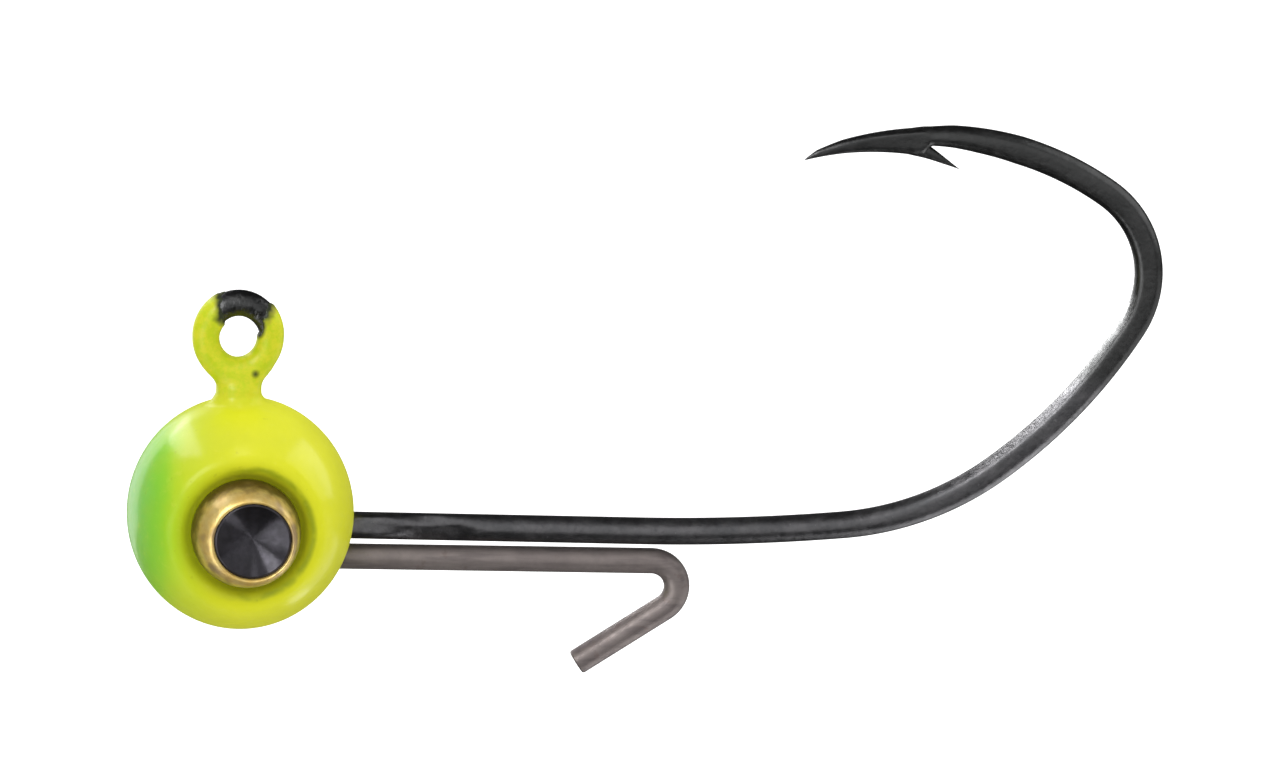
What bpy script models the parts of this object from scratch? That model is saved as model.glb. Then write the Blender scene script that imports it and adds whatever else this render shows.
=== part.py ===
"""Ball jig head for soft baits.

A lead ball is cast round a wide-gap hook and a bent bait-keeper wire, then painted. A brass eye with a
black, dished pupil sits in a socket on each side. The origin is the centre of the line-tie hole. +X runs
back along the hook's shank, +Z towards the hook's point, and the hook lies in the plane Y = 0.
Every dimension below is in millimetres, and MM turns it into Blender's metres.
"""

import math

import bmesh
import bpy
from mathutils import Vector

MM = 0.001

# Painted ball: its centre and its half-length along X, where it is round
BALL_X = 0.35
BALL_Z = -6.60
BALL_RADIUS = 4.15
BALL_TALLER = 1.031  # the ball is this much taller than it is long
COAT = 0.12  # paint on the ball
COAT_GAP = 0.01  # between the paint and what it covers
BALL_STEPS = 36

# Eye sockets, round the Y axis through the ball's centre
SOCKET_RADIUS = 2.05
SOCKET_DEPTH_Y = 2.75  # from the ball's centre to the socket's floor
SOCKET_SLOPE = math.radians(50)
SOCKET_RIM_ROUND = 0.45

# Eyes
EYE_BASE_RADIUS = 2.0
EYE_LIP_RADIUS = 1.56
EYE_BORE_RADIUS = 1.44
EYE_SEAT_GAP = 0.03
EYE_EDGE = 0.15  # straight edge at the foot of the dome
EYE_TOP_Y = 4.20
EYE_LIP_DROP = 0.07
EYE_STEPS = 32
PUPIL_CLEARANCE = 0.02
PUPIL_TOP_Y = 4.12
PUPIL_DISH = 0.45
PUPIL_BASE_Y = 2.80
PUPIL_BEVEL = 0.06
PUPIL_OFF_CENTRE = 0.17  # the pupil and the ring's lip sit this far back from the ring's foot

# Hook wire
WIRE = 0.495  # half its diameter
LOOP_HALF_WIDTH = 1.21  # of the line tie's wire centreline, an oval a little taller than it is wide
LOOP_SIDE_RADIUS = 1.31
LOOP_CORNER = math.radians(60)  # where its side arcs meet its end arcs, from +X towards +Z
LOOP_WIRE = 0.42
LOOP_WIRE_TOP = 0.48
LOOP_END = math.radians(-78)  # where the loop's cut end stops, from +X towards +Z
LOOP_NECK = math.radians(230)  # where the wire leaves the loop for the neck
BEND_IN_HEAD = 2.2
SHANK_Z = -7.0
SHANK_STRAIGHT = 12.85
GAP_BEND = ((72.2, 5.9), (10.7, 32.1), (19.2, 21.8), (3.78, 86.1), (11.6, 57.8))  # radius, degrees
FORGED_WIDE = 0.52  # half-widths of the flattened bend, in the hook's plane and across it
FORGED_THIN = 0.45
FORGING_FROM = 20.0  # from the start of the straight shank to where the flattening starts and ends
FORGING_TO = 26.0
FORGED_SQUARE = 2.8  # exponent of its superellipse section; 2 is an ellipse
WIRE_SIDES = 12
LONGEST_STEP = 2.6
STEP_ANGLE = math.radians(13)

# Half-widths near the point: distance from the tip, outer side, inner side, across
POINT_SECTIONS = (
    (0.0, 0.015, 0.015, 0.015),
    (0.50, 0.18, 0.09, 0.10),
    (1.50, 0.27, 0.24, 0.21),
    (4.00, 0.31, 0.67, 0.36),
    (4.45, 0.36, 0.68, 0.38),
    (4.70, 0.37, 0.34, 0.39),
    (5.50, 0.45, 0.37, 0.42),
    (6.50, 0.48, 0.45, 0.44),
    (8.00, FORGED_WIDE, FORGED_WIDE, FORGED_THIN),
)
# The barb's outline: distance from the tip, and inwards from the wire's centreline
BARB_OUTLINE = ((2.4, 0.20), (4.0, 0.71), (4.9, 0.92), (5.87, 1.15), (4.66, 0.34), (4.0, 0.10))
BARB_HALF_WIDTH = 0.20
NEAREST_RINGS = 0.12  # closer rings than this near the point are left out

# Bait-keeper wire
KEEPER = 0.47  # half its diameter
KEEPER_Z = -8.20
KEEPER_RISE = math.radians(0.3)  # of its straight, towards the back
KEEPER_START_X = 0.6
KEEPER_ANCHOR_RADIUS = 0.9
KEEPER_ANCHOR_LEG = 0.6
KEEPER_BEND_X = 15.5
KEEPER_BEND_RADIUS = 0.97
KEEPER_BEND = math.radians(145.9)
KEEPER_LEG = 3.8
KEEPER_SIDES = 12

# Cast neck under the line tie: height, half-width along X, half-width along Y, painted
NECK_SECTIONS = (
    (-3.30, 1.20, 1.20),
    (-2.52, 1.20, 1.20),
    (-2.44, 1.06, 1.06),
    (-2.38, 0.94, 0.94),
    (-2.30, 0.87, 0.87),
    (-2.15, 0.83, 0.83),
    (-1.80, 0.83, 0.76),
    (-1.60, 0.88, 0.66),
    (-1.38, 1.01, 0.58),
    (-1.15, 1.11, 0.50),
    (-0.95, 1.00, 0.30),
)
NECK_SIDES = 24
NECK_X = 0.05
COLLAR_RADIUS = 0.75  # of the lead inside the painted neck
COLLAR_TOP_Z = -1.85
COLLAR_FOOT = 0.75  # how far up the ball it starts, as a share of the ball's radius
WIRE_GAP = 0.01  # between a cast-in wire and the lead round it
LOOP_COAT = 0.035  # paint on the line tie's wire, outside its gap
LINE_TIE_STEPS = 24
BARE_FROM = math.radians(45)  # the paint is missing from the top of the line tie, between these angles
BARE_TO = math.radians(121)
BALL_CENTRE = Vector((BALL_X, 0.0, BALL_Z))


def clear_scene():
    for obj in list(bpy.data.objects):
        bpy.data.objects.remove(obj)


def make_material(name, colour, roughness, metallic):
    mat = bpy.data.materials.new(name)
    mat.use_nodes = True
    shader = mat.node_tree.nodes["Principled BSDF"]
    shader.inputs["Base Color"].default_value = (*colour, 1.0)
    shader.inputs["Roughness"].default_value = roughness
    shader.inputs["Metallic"].default_value = metallic
    mat.diffuse_color = (*colour, 1.0)
    return mat


def lead_material():
    return make_material("cast_lead", (0.30, 0.31, 0.33), 0.6, 0.9)


def paint_material():
    return make_material("chartreuse_paint", (0.74, 0.78, 0.03), 0.25, 0.0)


def hook_material():
    return make_material("black_nickel", (0.035, 0.036, 0.04), 0.35, 0.9)


def keeper_material():
    return make_material("drawn_steel", (0.36, 0.33, 0.32), 0.38, 1.0)


def brass_material():
    return make_material("brass", (0.72, 0.50, 0.17), 0.3, 1.0)


def pupil_material():
    return make_material("black_enamel", (0.012, 0.012, 0.016), 0.2, 0.0)


def mesh_object(name, bm, mat=None):
    """Turns a bmesh in millimetres into an object in metres, facing out and smooth shaded."""
    bmesh.ops.scale(bm, vec=(MM, MM, MM), verts=bm.verts)
    bmesh.ops.recalc_face_normals(bm, faces=bm.faces)
    # A loft's four-sided faces are slightly twisted, and a Boolean needs flat ones
    bmesh.ops.triangulate(bm, faces=bm.faces)
    mesh = bpy.data.meshes.new(name)
    bm.to_mesh(mesh)
    bm.free()
    mesh.shade_smooth()
    mesh.set_sharp_from_angle(angle=math.radians(35))
    obj = bpy.data.objects.new(name, mesh)
    bpy.context.scene.collection.objects.link(obj)
    if mat is not None:
        mesh.materials.append(mat)
    return obj


def helper(name, bm):
    """An object that only shapes others through a Boolean."""
    obj = mesh_object(name, bm)
    obj.hide_render = True
    obj.display_type = "WIRE"
    return obj


def boolean(obj, other, operation):
    modifier = obj.modifiers.new(f"{operation.lower()}_{other.name}", "BOOLEAN")
    modifier.operation = operation
    modifier.solver = "EXACT"
    modifier.object = other


def loft(rings, closed=False):
    """A closed skin over rings of points, each with the same number of points.

    The skin runs on from the last ring to the first if closed is set, and else has a flat face at each end.
    """
    bm = bmesh.new()
    made = [[bm.verts.new(point) for point in ring] for ring in rings]
    count = len(made[0])
    after = made[1:] + made[:1] if closed else made[1:]
    for lower, upper in zip(made, after):
        for i in range(count):
            j = (i + 1) % count
            bm.faces.new((lower[i], lower[j], upper[j], upper[i]))
    if not closed:
        bm.faces.new(made[0][::-1])
        bm.faces.new(made[-1])
    return bm


def lathe(profile, steps, centre, taller=1.0, round_within=0.0):
    """Turns (radius, y) points round the Y axis through centre.

    Beyond round_within from the axis, heights grow to taller times at the ball's radius.
    """
    bm = bmesh.new()
    verts = [bm.verts.new((radius, y, 0.0)) for radius, y in profile]
    edges = [bm.edges.new(pair) for pair in zip(verts, verts[1:])]
    if profile[0][0] > 0.0:
        edges.append(bm.edges.new((verts[-1], verts[0])))
    bmesh.ops.spin(
        bm, geom=verts + edges, axis=(0, 1, 0), cent=(0, 0, 0), angle=math.tau, steps=steps
    )
    bmesh.ops.remove_doubles(bm, verts=bm.verts, dist=1e-4)
    for vert in bm.verts:
        distance = math.hypot(vert.co.x, vert.co.z)
        share = max(0.0, (distance - round_within) / (BALL_RADIUS - round_within))
        vert.co.z *= 1.0 + (taller - 1.0) * min(1.0, share)
        vert.co += centre
    return bm


def arc_points(centre, radius, start, end, count):
    """Points on an arc in a plane, both ends included."""
    angles = [start + (end - start) * i / (count - 1) for i in range(count)]
    return [(centre[0] + radius * math.cos(a), centre[1] + radius * math.sin(a)) for a in angles]


def ball_profile(inset):
    """The ball's half outline with its socket, moved into the material by inset."""
    wall = Vector((math.cos(SOCKET_SLOPE), math.sin(SOCKET_SLOPE)))
    into = Vector((math.sin(SOCKET_SLOPE), -math.cos(SOCKET_SLOPE)))
    foot = Vector((SOCKET_RADIUS, SOCKET_DEPTH_Y))
    # The rim's rounding touches both the wall and the sphere
    base = foot + into * SOCKET_RIM_ROUND
    reach = BALL_RADIUS - SOCKET_RIM_ROUND
    half_b = base.dot(wall)
    along = -half_b + math.sqrt(half_b**2 - base.length_squared + reach**2)
    centre = base + wall * along
    on_sphere = math.atan2(centre.y, centre.x)
    on_wall = math.atan2(-into.y, -into.x)
    rim = arc_points(centre, SOCKET_RIM_ROUND - inset, on_wall, on_sphere, 5)
    corner = foot + into * inset
    corner += wall * ((SOCKET_DEPTH_Y - inset - corner.y) / wall.y)
    sphere = arc_points((0.0, 0.0), BALL_RADIUS - inset, on_sphere, 0.0, 7)
    upper = [(0.0, SOCKET_DEPTH_Y - inset), (corner.x, corner.y), *rim, *sphere[1:]]
    lower = [(radius, -y) for radius, y in upper[-2::-1]]
    return upper + lower


class Path:
    """A line in the plane Y = 0 made of straights and arcs, each meeting the last without a corner."""

    def __init__(self, start, heading):
        self.pieces = []
        self.end = Vector(start)
        self.heading = heading
        self.length = 0.0
        self.marks = {}

    def mark(self, name):
        self.marks[name] = self.length

    def add(self, length, curvature=0.0):
        """Adds a piece. Positive curvature turns from +X towards +Z."""
        self.pieces.append((self.length, self.end.copy(), self.heading, length, curvature))
        self.end, self.heading = self.along(self.pieces[-1], length)
        self.length += length

    def arc(self, radius, angle):
        self.add(radius * abs(angle), math.copysign(1.0 / radius, angle))

    @staticmethod
    def along(piece, distance):
        _, start, heading, _, curvature = piece
        turned = heading + curvature * distance
        if curvature == 0.0:
            step = Vector((math.cos(heading), math.sin(heading))) * distance
        else:
            step = Vector((math.sin(turned) - math.sin(heading), math.cos(heading) - math.cos(turned)))
            step /= curvature
        return start + step, turned

    def at(self, distance):
        """(point, heading) at a distance from the start."""
        piece = [p for p in self.pieces if p[0] <= max(0.0, distance) + 1e-9][-1]
        return self.along(piece, distance - piece[0])

    def stations(self):
        """Distances close enough together for the bends, ends included."""
        found = [0.0]
        for begin, _, _, length, curvature in self.pieces:
            turns = length * abs(curvature) / STEP_ANGLE
            count = max(1, math.ceil(turns), math.ceil(length / LONGEST_STEP))
            found += [begin + length * (i + 1) / count for i in range(count)]
        return found


def interpolate(rows, at):
    """The values beside at in rows of (key, value, ...), on straight lines between the rows."""
    if at <= rows[0][0]:
        return rows[0][1:]
    for low, high in zip(rows, rows[1:]):
        if at <= high[0]:
            share = (at - low[0]) / (high[0] - low[0])
            return tuple(a + (b - a) * share for a, b in zip(low[1:], high[1:]))
    return rows[-1][1:]


def wire_ring(path, distance, section, sides):
    """One ring round a wire. section is outer, inner and across half-widths and the squareness."""
    outer, inner, across, square = section
    point, heading = path.at(distance)
    inwards = Vector((-math.sin(heading), math.cos(heading)))
    ring = []
    for i in range(sides):
        angle = math.tau * i / sides
        c = math.copysign(abs(math.cos(angle)) ** (2.0 / square), math.cos(angle))
        s = math.copysign(abs(math.sin(angle)) ** (2.0 / square), math.sin(angle))
        flat = point + inwards * (c * (inner if c > 0 else outer))
        ring.append(Vector((flat.x, s * across, flat.y)))
    return ring


def loop_path(start, end):
    """The line tie's centreline between two directions from its middle, turning from +X towards +Z."""
    spread = (LOOP_SIDE_RADIUS - LOOP_HALF_WIDTH) / math.cos(LOOP_CORNER)
    end_radius = LOOP_SIDE_RADIUS - spread
    begin = Vector((math.cos(start), math.sin(start))) * end_radius
    begin.y -= spread * math.sin(LOOP_CORNER)
    path = Path(begin, start + math.pi / 2)
    corners = (-LOOP_CORNER, LOOP_CORNER, math.pi - LOOP_CORNER, math.pi + LOOP_CORNER, end)
    angle = start
    for i, corner in enumerate(corners):
        upto = min(corner, end)
        if upto > angle:
            path.arc(LOOP_SIDE_RADIUS if i % 2 else end_radius, upto - angle)
            angle = upto
    return path


def loop_wire(path, distance):
    """Half the diameter of the line tie's wire, which is thicker towards its top."""
    height = max(0.0, path.at(distance)[0].y)
    return LOOP_WIRE + (LOOP_WIRE_TOP - LOOP_WIRE) * height / LOOP_HALF_WIDTH


def hook_path():
    path = loop_path(LOOP_END, LOOP_NECK)
    path.mark("neck")
    # The neck's bend brings the wire back under the middle of the loop, heading straight down
    turn = LOOP_NECK - math.pi
    path.arc(-path.end.x / (1.0 - math.cos(turn)), -turn)
    path.mark("upright")
    path.add(path.end.y - (SHANK_Z + BEND_IN_HEAD))
    path.arc(BEND_IN_HEAD, math.pi / 2)
    path.mark("shank")
    path.add(SHANK_STRAIGHT)
    for radius, degrees in GAP_BEND:
        path.arc(radius, math.radians(degrees))
    return path


def hook_section(path, distance, grow=0.0):
    """The wire's half-widths at a distance from the loop's cut end, each wider by grow."""
    to_tip = path.length - distance
    square = 2.0
    if to_tip < POINT_SECTIONS[-1][0]:
        square = FORGED_SQUARE
        outer, inner, across = interpolate(POINT_SECTIONS, to_tip)
    elif distance < path.marks["neck"]:
        outer = inner = across = loop_wire(path, distance)
    else:
        rows = (
            (path.marks["neck"], LOOP_WIRE, LOOP_WIRE, 2.0),
            (path.marks["upright"], WIRE, WIRE, 2.0),
            (path.marks["shank"] + FORGING_FROM, WIRE, WIRE, 2.0),
            (path.marks["shank"] + FORGING_TO, FORGED_WIDE, FORGED_THIN, FORGED_SQUARE),
        )
        outer, across, square = interpolate(rows, distance)
        inner = outer
    return outer + grow, inner + grow, across + grow, square


def hook_stations(path):
    """The path's own stations, and one at each change of section near the point."""
    near_point = [path.length - row[0] for row in POINT_SECTIONS]
    plain = [s for s in path.stations() if min(abs(s - n) for n in near_point) > NEAREST_RINGS]
    return sorted(plain + near_point)


def barb(path):
    """The flap cut up from the inner side of the point, as a plate along the hook's plane."""
    outline = []
    for to_tip, inwards in BARB_OUTLINE:
        point, heading = path.at(path.length - to_tip)
        outline.append(point + Vector((-math.sin(heading), math.cos(heading))) * inwards)
    return loft([[Vector((p.x, y, p.y)) for p in outline] for y in (-BARB_HALF_WIDTH, BARB_HALF_WIDTH)])


def build_hook(path):
    rings = [wire_ring(path, s, hook_section(path, s), WIRE_SIDES) for s in hook_stations(path)]
    hook = mesh_object("hook", loft(rings), hook_material())
    boolean(hook, helper("barb_flap", barb(path)), "UNION")
    return hook


def hook_channel(path):
    """The space that the hook's wire takes in the head, running out past the ball."""
    out_of_ball = path.marks["shank"] + 2 * BALL_RADIUS
    stations = [s for s in hook_stations(path) if s < out_of_ball]
    rings = [wire_ring(path, s, hook_section(path, s, WIRE_GAP), WIRE_SIDES) for s in stations]
    return helper("hook_channel", loft(rings))


def keeper_path():
    """From the anchor's end, hidden in the lead, out along the shank and back under itself."""
    start = Vector((KEEPER_START_X - KEEPER_ANCHOR_RADIUS, KEEPER_Z - KEEPER_ANCHOR_RADIUS))
    start.y -= KEEPER_ANCHOR_LEG
    path = Path(start, math.pi / 2)
    path.add(KEEPER_ANCHOR_LEG)
    path.arc(KEEPER_ANCHOR_RADIUS, KEEPER_RISE - math.pi / 2)
    path.mark("straight")
    path.add(KEEPER_BEND_X - KEEPER_START_X)
    path.arc(KEEPER_BEND_RADIUS, -KEEPER_BEND)
    path.add(KEEPER_LEG)
    return path


def build_keeper(path):
    section = (KEEPER, KEEPER, KEEPER, 2.0)
    rings = [wire_ring(path, s, section, KEEPER_SIDES) for s in path.stations()]
    return mesh_object("bait_keeper_wire", loft(rings), keeper_material())


def keeper_channel(path):
    radius = KEEPER + WIRE_GAP
    section = (radius, radius, radius, 2.0)
    out_of_ball = path.marks["straight"] + 2 * BALL_RADIUS
    stations = [-WIRE_GAP] + [s for s in path.stations()[1:] if s < out_of_ball]
    rings = [wire_ring(path, s, section, KEEPER_SIDES) for s in stations]
    return helper("keeper_channel", loft(rings))


def ellipse_ring(z, half_x, half_y, sides):
    angles = [math.tau * (i + 0.5) / sides for i in range(sides)]
    return [Vector((NECK_X + half_x * math.cos(a), half_y * math.sin(a), z)) for a in angles]


def collar(grow):
    """The lead neck, as a plain cylinder that starts inside the ball."""
    radius = COLLAR_RADIUS + grow
    heights = (BALL_Z + COLLAR_FOOT * BALL_RADIUS, COLLAR_TOP_Z + grow)
    return loft([ellipse_ring(z, radius, radius, NECK_SIDES) for z in heights])


def lead_ball(grow):
    """The ball inside the paint, larger by grow."""
    profile = ball_profile(COAT + COAT_GAP - grow)
    return lathe(profile, BALL_STEPS, BALL_CENTRE, BALL_TALLER, SOCKET_RADIUS + SOCKET_RIM_ROUND)


def build_head(channels):
    head = mesh_object("lead_head", lead_ball(0.0), lead_material())
    boolean(head, helper("collar_blank", collar(0.0)), "UNION")
    for channel in channels:
        boolean(head, channel, "DIFFERENCE")
    return head


def line_tie_ring():
    """The painted outside of the line tie: a closed ring round the hook's loop."""
    path = loop_path(-math.pi / 2, 1.5 * math.pi)
    rings = []
    for i in range(LINE_TIE_STEPS):
        distance = path.length * i / LINE_TIE_STEPS
        radius = loop_wire(path, distance) + WIRE_GAP + LOOP_COAT
        rings.append(wire_ring(path, distance, (radius, radius, radius, 2.0), WIRE_SIDES))
    return loft(rings, closed=True)


def bare_window():
    """A wedge over the top of the line tie, where the paint is missing."""
    near, far, half = 0.45 * LOOP_HALF_WIDTH, 2.0 * LOOP_HALF_WIDTH, 1.0
    outline = [(near, BARE_FROM), (far, BARE_FROM), (1.3 * far, (BARE_FROM + BARE_TO) / 2)]
    outline += [(far, BARE_TO), (near, BARE_TO)]
    flat = [(radius * math.cos(a), radius * math.sin(a)) for radius, a in outline]
    return loft([[Vector((x, y, z)) for x, z in flat] for y in (-half, half)])


def build_coat(channels):
    profile = ball_profile(0.0)
    ball = lathe(profile, BALL_STEPS, BALL_CENTRE, BALL_TALLER, SOCKET_RADIUS + SOCKET_RIM_ROUND)
    coat = mesh_object("paint_coat", ball, paint_material())
    neck = loft([ellipse_ring(z, a, b, NECK_SIDES) for z, a, b in NECK_SECTIONS])
    boolean(coat, helper("neck_blank", neck), "UNION")
    boolean(coat, helper("line_tie_blank", line_tie_ring()), "UNION")
    boolean(coat, helper("ball_core", lead_ball(COAT_GAP)), "DIFFERENCE")
    boolean(coat, helper("collar_core", collar(COAT_GAP)), "DIFFERENCE")
    for channel in channels:
        boolean(coat, channel, "DIFFERENCE")
    boolean(coat, helper("bare_window", bare_window()), "DIFFERENCE")
    return coat


def eye_profile():
    """The brass eye's closed section, from the foot of its bore up and over its dome."""
    foot = SOCKET_DEPTH_Y + EYE_SEAT_GAP
    shoulder = foot + EYE_EDGE
    rise = EYE_TOP_Y - shoulder
    inset = EYE_BASE_RADIUS - EYE_LIP_RADIUS
    dome = [(math.cos(a), math.sin(a)) for a in (math.radians(15 * i) for i in range(7))]
    outline = [(EYE_LIP_RADIUS + inset * c, shoulder + rise * s) for c, s in dome]
    lip = (EYE_BORE_RADIUS, EYE_TOP_Y - EYE_LIP_DROP)
    return [(EYE_BORE_RADIUS, foot), (EYE_BASE_RADIUS, foot), *outline, lip]


def pupil_profile():
    """The black pupil: a plug with a shallow cone sunk in its face."""
    radius = EYE_BORE_RADIUS - PUPIL_CLEARANCE
    return [
        (0.0, PUPIL_BASE_Y),
        (radius, PUPIL_BASE_Y),
        (radius, PUPIL_TOP_Y - PUPIL_BEVEL),
        (radius - PUPIL_BEVEL, PUPIL_TOP_Y),
        (0.0, PUPIL_TOP_Y - PUPIL_DISH),
    ]


def turned_eye_part(profile, facing, full_shift_at, no_shift_at):
    """Turns a profile, then slides it back: fully at one radius, not at all at a larger one."""
    bm = lathe([(radius, y * facing) for radius, y in profile], EYE_STEPS, BALL_CENTRE)
    for vert in bm.verts:
        radius = math.hypot(vert.co.x - BALL_CENTRE.x, vert.co.z - BALL_CENTRE.z)
        share = (no_shift_at - radius) / (no_shift_at - full_shift_at)
        vert.co.x += PUPIL_OFF_CENTRE * max(0.0, min(1.0, share))
    return bm


def build_eyes():
    brass, black = brass_material(), pupil_material()
    for side, facing in (("left", 1), ("right", -1)):
        ring = turned_eye_part(eye_profile(), facing, EYE_LIP_RADIUS, EYE_BASE_RADIUS)
        mesh_object(f"eye_ring_{side}", ring, brass)
        pupil = turned_eye_part(pupil_profile(), facing, EYE_LIP_RADIUS, EYE_BASE_RADIUS)
        mesh_object(f"pupil_{side}", pupil, black)


def build():
    clear_scene()
    hook, keeper = hook_path(), keeper_path()
    build_hook(hook)
    build_keeper(keeper)
    channels = (hook_channel(hook), keeper_channel(keeper))
    build_head(channels)
    build_coat(channels)
    build_eyes()


build()
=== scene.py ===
"""Looks of the ball jig head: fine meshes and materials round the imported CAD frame.

The origin is the centre of the line-tie hole, +X runs back along the shank and +Z towards the
hook's point. Sizes are in millimetres, and MM turns them into Blender's metres.
"""

import math

import bmesh
import bpy
import numpy as np
from mathutils import Matrix, Vector, noise


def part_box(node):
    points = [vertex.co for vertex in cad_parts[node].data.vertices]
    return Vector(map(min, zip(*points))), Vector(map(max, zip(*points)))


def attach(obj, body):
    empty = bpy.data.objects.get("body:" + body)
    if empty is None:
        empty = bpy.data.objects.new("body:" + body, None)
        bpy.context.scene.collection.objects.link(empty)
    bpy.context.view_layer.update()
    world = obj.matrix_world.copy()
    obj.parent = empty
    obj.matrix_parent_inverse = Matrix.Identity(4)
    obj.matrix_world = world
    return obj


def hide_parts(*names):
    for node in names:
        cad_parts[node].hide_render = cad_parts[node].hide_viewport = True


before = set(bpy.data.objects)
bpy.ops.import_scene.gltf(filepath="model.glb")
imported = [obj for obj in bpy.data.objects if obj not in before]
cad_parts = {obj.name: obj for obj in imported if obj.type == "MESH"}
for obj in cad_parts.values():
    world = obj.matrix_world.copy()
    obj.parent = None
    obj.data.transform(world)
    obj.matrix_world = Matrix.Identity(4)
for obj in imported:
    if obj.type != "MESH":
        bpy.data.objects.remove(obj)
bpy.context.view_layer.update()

MM = 0.001

# Painted ball, from the CAD's boxes: it is round along X and a little taller along Z
COAT_LOW, COAT_HIGH = (np.array(corner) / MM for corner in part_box("paint_coat"))
BALL_RADIUS = (COAT_HIGH[0] - COAT_LOW[0]) / 2
BALL_TALLER = 1.031
BALL_X = (COAT_LOW[0] + COAT_HIGH[0]) / 2
BALL_Z = COAT_LOW[2] + BALL_RADIUS * BALL_TALLER
BALL_CENTRE = np.array((BALL_X, 0.0, BALL_Z))
SOCKET_RADIUS = 2.05
SOCKET_FLOOR = 2.75
SOCKET_SLOPE = math.radians(50)
SOCKET_RIM = 0.65  # how far the rim's rounding reaches
SOCKET_CREASE = 0.15  # and that of the floor's edge
TALLER_FROM = 2.5  # from the eyes' axis, where the ball starts to grow taller than round

# Line tie and neck
LOOP_HALF_WIDTH = 1.21
LOOP_SIDE_RADIUS = 1.31
LOOP_CORNER = math.radians(60)
LOOP_WIRE = 0.42
LOOP_WIRE_TOP = 0.48
LOOP_END = math.radians(-78)
LOOP_NECK = math.radians(230)
LOOP_COAT = 0.045
INNER_COAT = 0.11  # more paint gathers inside the hole
LOOP_COAT_FADE = 0.9  # across the wire, from the hole's side to the outside
NECK_X = 0.10
NECK_TOP, NECK_FOOT = -1.15, -4.0
# Roundings of the neck's own edges and where it runs into the loop and the ball
NECK_EDGE = 0.20
NECK_TO_LOOP = 0.30
NECK_TO_BALL = 0.42
# The bare patch on top of the loop: the directions in degrees at which it starts and ends, and the
# shares of the way from the loop's outside to the hole at which each holds
BARE_FROM = (47.0, 42.0, 8.0)
BARE_FROM_AT = (0.0, 0.6, 1.0)
BARE_TO = (113.0, 128.0, 134.0)
BARE_TO_AT = (0.0, 0.5, 1.0)
THIN_PAINT = 0.32  # how far from the patch the paint starts to thin
# A chip in the paint where the loop meets the neck
CHIP = np.array((0.63, -0.45, -1.25))
CHIP_RADIUS = 0.07
CHIP_EDGE = 2.2  # how much more abruptly its paint ends than the bare patch's
# Painted shade at the foot of the eye: within this distance of the eyes' axis, and how fast it fades
FOOT_SHADE_RADIUS = 2.45
FOOT_SHADE_FADE = 0.30
# The neck's half-widths along X and Y at heights
NECK_SECTIONS = (
    (-2.30, 0.87, 0.87),
    (-2.15, 0.83, 0.83),
    (-1.80, 0.83, 0.78),
    (-1.60, 0.86, 0.68),
    (-1.38, 0.93, 0.58),
    (-1.15, 0.97, 0.50),
)
VOXEL = 0.065  # of the remesh that the painted skin starts from

# Hook wire
WIRE = 0.495
BEND_IN_HEAD = 2.2
SHANK_Z = -7.0
SHANK_STRAIGHT = 12.85
GAP_BEND = ((72.2, 5.9), (10.7, 32.1), (19.2, 21.8), (3.78, 86.1), (11.6, 57.8))  # radius, degrees
FORGING_FROM, FORGING_TO = 20.0, 26.0
FORGED_WIDE = 0.52
FORGED_THIN = 0.45
FLAT_EDGE = 14  # how crisply the flats meet the round
# Half-widths near the point: distance from the tip, outer side, inner side, across
POINT_SECTIONS = (
    (0.0, 0.02, 0.02, 0.02),
    (0.50, 0.18, 0.09, 0.12),
    (1.50, 0.27, 0.24, 0.23),
    (4.00, 0.31, 0.67, 0.36),
    (4.45, 0.36, 0.66, 0.38),
    (4.72, 0.37, 0.34, 0.39),
    (5.50, 0.45, 0.37, 0.42),
    (6.50, 0.48, 0.45, 0.44),
    (8.00, FORGED_WIDE, FORGED_WIDE, FORGED_THIN),
)
# The barb's flap: distance from the tip, its two edges inwards from the centreline, half-width
BARB_SECTIONS = (
    (3.30, -0.10, 0.50, 0.20),
    (4.00, 0.05, 0.69, 0.27),
    (4.50, 0.20, 0.81, 0.26),
    (4.80, 0.44, 0.89, 0.22),
    (5.20, 0.71, 1.00, 0.15),
    (5.60, 0.97, 1.09, 0.08),
    (5.90, 1.14, 1.16, 0.02),
)

# Bait-keeper wire
KEEPER = 0.47
KEEPER_Z = -8.20
KEEPER_RISE = math.radians(0.3)
KEEPER_START_X = 0.6
KEEPER_ANCHOR_RADIUS = 0.9
KEEPER_ANCHOR_LEG = 0.6
KEEPER_BEND_X = 15.5
KEEPER_BEND_RADIUS = 0.97
KEEPER_BEND = math.radians(145.9)
KEEPER_LEG = 3.8
KEEPER_BEVEL = 0.05

# Eyes, from the CAD's boxes
EYE_RADIUS = 2.0
EYE_FOOT = 2.78
EYE_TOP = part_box("eye_ring_left")[1].y / MM
EYE_LIP = 1.50
EYE_BORE = 1.42
PUPIL_RADIUS = 1.42
PUPIL_TOP = EYE_TOP - 0.08
PUPIL_DISH = 0.45
PUPIL_EDGE = 0.10  # its rounded edge, inwards
PUPIL_OFF_CENTRE = 0.17  # the pupil and the ring's lip sit this far back from the ring's foot

# Camera: the direction it looks from, its lens, and how far the picture's middle lies to the right
# of the ball's centre and above it
CAMERA_AZIMUTH = math.radians(-6)
CAMERA_ELEVATION = math.radians(14.5)
CAMERA_ROLL = math.radians(2.71)
FRAME_WIDTH = 46.7
MIDDLE_RIGHT, MIDDLE_ABOVE = 14.585, 4.66
CAMERA_DISTANCE = 700.0
SENSOR = 36.0
FLOOR_BELOW = 70.0
FLOOR_HALF = 3000.0


# ---------------------------------------------------------------- node materials


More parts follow.
